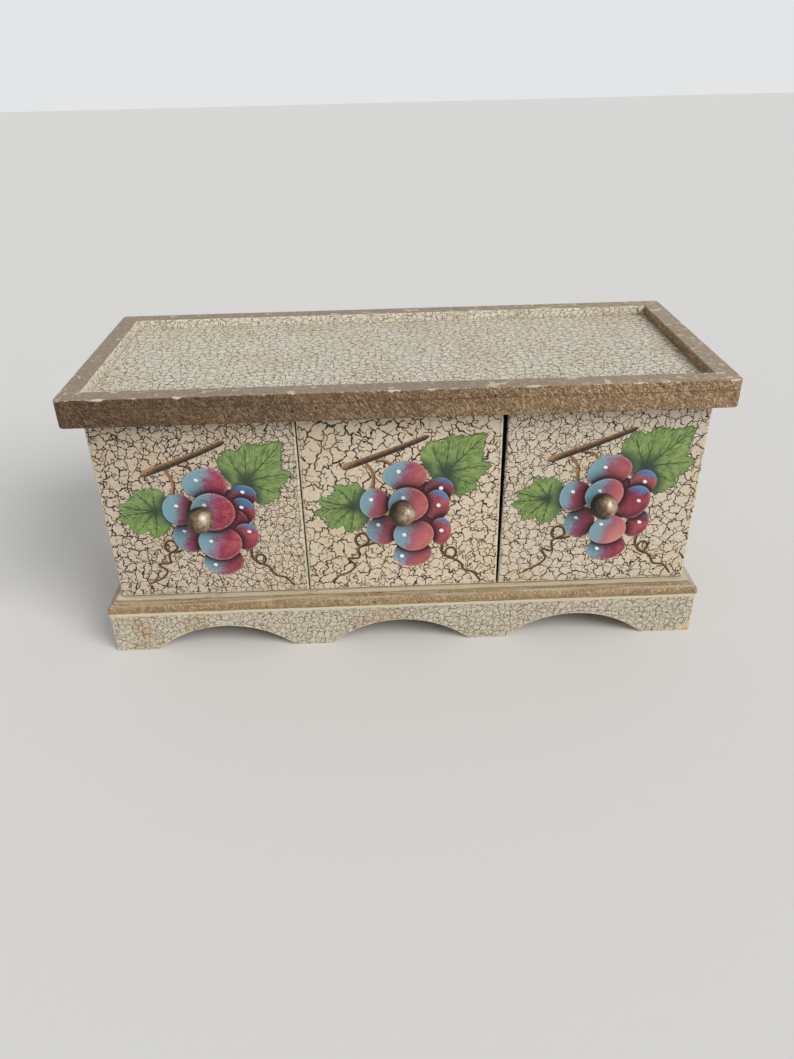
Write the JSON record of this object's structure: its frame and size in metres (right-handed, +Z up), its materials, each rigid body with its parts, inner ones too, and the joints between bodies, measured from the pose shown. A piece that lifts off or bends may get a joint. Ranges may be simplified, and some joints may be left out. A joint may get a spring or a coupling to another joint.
{
  "type": "drawer cabinet",
  "caption": "Low wooden tabletop cabinet with ball-knob drawers side by side under a tray-rimmed lid, on a moulded base with an arched apron.",
  "frame": {"origin": "floor level, in the middle of the whole object's length and depth, knobs included", "axes": "+X to the right along the length, +Y to the back, +Z up; the drawers open towards -Y"},
  "size_m": [0.44, 0.1942, 0.202],
  "materials": {
    "cream_crackle_paint": "satin crackle paint",
    "bronze_brown_paint": "satin paint with a slight metallic sheen",
    "bare_wood": "bare",
    "plywood": "bare",
    "steel": "zinc plated"
  },
  "bodies": {
    "cabinet": {"top_board": "cream_crackle_paint", "front_rim": "bronze_brown_paint", "back_rim": "bronze_brown_paint", "left_rim": "bronze_brown_paint", "right_rim": "bronze_brown_paint", "left_side": "cream_crackle_paint", "right_side": "cream_crackle_paint", "divider_1": "bare_wood", "divider_2": "bare_wood", "back_panel": "plywood", "base_board": "cream_crackle_paint", "front_apron": "cream_crackle_paint", "back_apron": "cream_crackle_paint", "left_apron": "cream_crackle_paint", "right_apron": "cream_crackle_paint", "glue_blocks": "bare_wood", "lid_dowels": "bare_wood", "base_screws": "steel", "back_nails": "steel"},
    "drawer_1": {"drawer_1_front": "cream_crackle_paint", "drawer_1_box_front": "bare_wood", "drawer_1_box_left": "bare_wood", "drawer_1_box_right": "bare_wood", "drawer_1_box_back": "bare_wood", "drawer_1_box_bottom": "plywood", "drawer_1_knob": "bronze_brown_paint", "drawer_1_knob_screw": "steel", "drawer_1_front_screws": "steel"},
    "drawer_2": {"drawer_2_front": "cream_crackle_paint", "drawer_2_box_front": "bare_wood", "drawer_2_box_left": "bare_wood", "drawer_2_box_right": "bare_wood", "drawer_2_box_back": "bare_wood", "drawer_2_box_bottom": "plywood", "drawer_2_knob": "bronze_brown_paint", "drawer_2_knob_screw": "steel", "drawer_2_front_screws": "steel"},
    "drawer_3": {"drawer_3_front": "cream_crackle_paint", "drawer_3_box_front": "bare_wood", "drawer_3_box_left": "bare_wood", "drawer_3_box_right": "bare_wood", "drawer_3_box_back": "bare_wood", "drawer_3_box_bottom": "plywood", "drawer_3_knob": "bronze_brown_paint", "drawer_3_knob_screw": "steel", "drawer_3_front_screws": "steel"}
  },
  "joints": [
    {"name": "drawer_1_slide", "type": "slide", "parent": "cabinet", "child": "drawer_1", "axis": [0, -1, 0], "range_m": [0, 0.11]},
    {"name": "drawer_2_slide", "type": "slide", "parent": "cabinet", "child": "drawer_2", "axis": [0, -1, 0], "range_m": [0, 0.11]},
    {"name": "drawer_3_slide", "type": "slide", "parent": "cabinet", "child": "drawer_3", "axis": [0, -1, 0], "range_m": [0, 0.11]}
  ]
}
